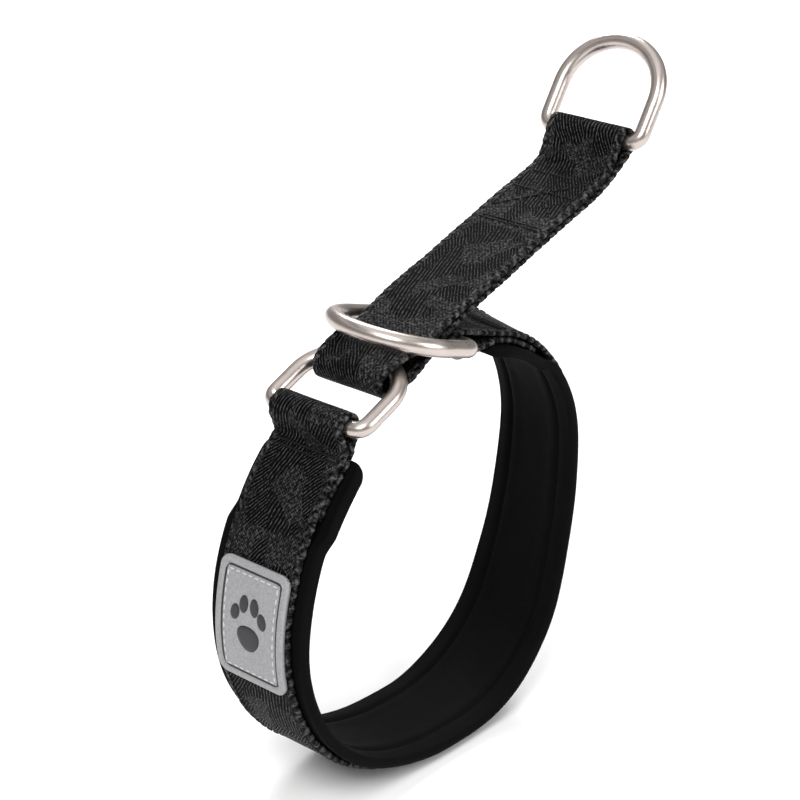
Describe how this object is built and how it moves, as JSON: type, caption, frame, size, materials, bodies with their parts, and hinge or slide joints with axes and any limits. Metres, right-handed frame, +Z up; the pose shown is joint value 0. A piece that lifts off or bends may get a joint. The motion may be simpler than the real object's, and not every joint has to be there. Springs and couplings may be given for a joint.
{
  "type": "slip collar",
  "caption": "Padded webbing slip collar for a dog: a lined band, metal D-rings and a doubled control strap that slides through a ring and carries the leash ring.",
  "frame": {"origin": "on the surface it stands on, under the middle of the whole object's box", "axes": "+Z up, the band's hoop lies in the XZ plane with its width along Y, the control strap leads towards +X"},
  "size_m": [0.1462, 0.0366, 0.1721],
  "materials": {
    "webbing": "woven, matte black",
    "lining": "knit-faced neoprene, matte black",
    "ring_steel": "satin",
    "label_rubber": "satin grey",
    "label_mark": "matte dark grey",
    "black_thread": "sewing thread",
    "light_thread": "sewing thread"
  },
  "bodies": {
    "band": {"webbing_main": "webbing", "lining_main": "lining", "right_loop_bartack": "black_thread", "edge_stitching_main_near": "black_thread", "edge_stitching_main_far": "black_thread", "edge_stitching_right_near": "black_thread", "edge_stitching_right_far": "black_thread"},
    "left_band": {"webbing_left": "webbing", "lining_left": "lining", "left_loop_bartack": "black_thread", "label_base": "label_rubber", "label_rim": "label_rubber", "label_paw_pad": "label_mark", "label_paw_toe_1": "label_mark", "label_paw_toe_2": "label_mark", "label_paw_toe_3": "label_mark", "label_paw_toe_4": "label_mark", "label_stitching": "light_thread", "edge_stitching_left_upper_near": "black_thread", "edge_stitching_left_upper_far": "black_thread", "edge_stitching_left_lower_near": "black_thread", "edge_stitching_left_lower_far": "black_thread"},
    "joining_ring": {"joining_ring": "ring_steel"},
    "slip_ring": {"slip_ring": "ring_steel"},
    "leash_ring": {"leash_ring": "ring_steel"},
    "control_strap": {"control_strap": "webbing", "strap_lower_bartack": "black_thread", "strap_upper_bartack": "black_thread"}
  },
  "joints": [
    {"name": "band_flex", "type": "hinge", "parent": "band", "child": "left_band", "pos_m": [-0.05524, 0, 0.0149], "axis": [0, -1, 0], "range_deg": [0, 24], "stiffness_Nm_per_rad": 0.25},
    {"name": "joining_ring_swing", "type": "hinge", "parent": "left_band", "child": "joining_ring", "pos_m": [-0.04788, 0, 0.1019], "axis": [0, -1, 0], "range_deg": [-32.3, 0]},
    {"name": "strap_swing", "type": "hinge", "parent": "joining_ring", "child": "control_strap", "pos_m": [-0.02915, 0, 0.11024], "axis": [0, -1, 0], "range_deg": [0, 3.32]},
    {"name": "slip_ring_swing", "type": "hinge", "parent": "band", "child": "slip_ring", "pos_m": [-0.00878, 0, 0.112], "axis": [0.0102, 0.9994, 0.0334], "range_deg": [0, 31.2]},
    {"name": "leash_ring_swing", "type": "hinge", "parent": "control_strap", "child": "leash_ring", "pos_m": [0.05692, 0, 0.1482], "axis": [0, -1, 0], "range_deg": [-120, 110]}
  ],
  "couplings": [
    {"joint": "joining_ring_swing", "follows": "band_flex", "ratio": -1.3458},
    {"joint": "strap_swing", "follows": "band_flex", "ratio": 0.13833},
    {"joint": "slip_ring_swing", "follows": "band_flex", "ratio": 1.3}
  ]
}
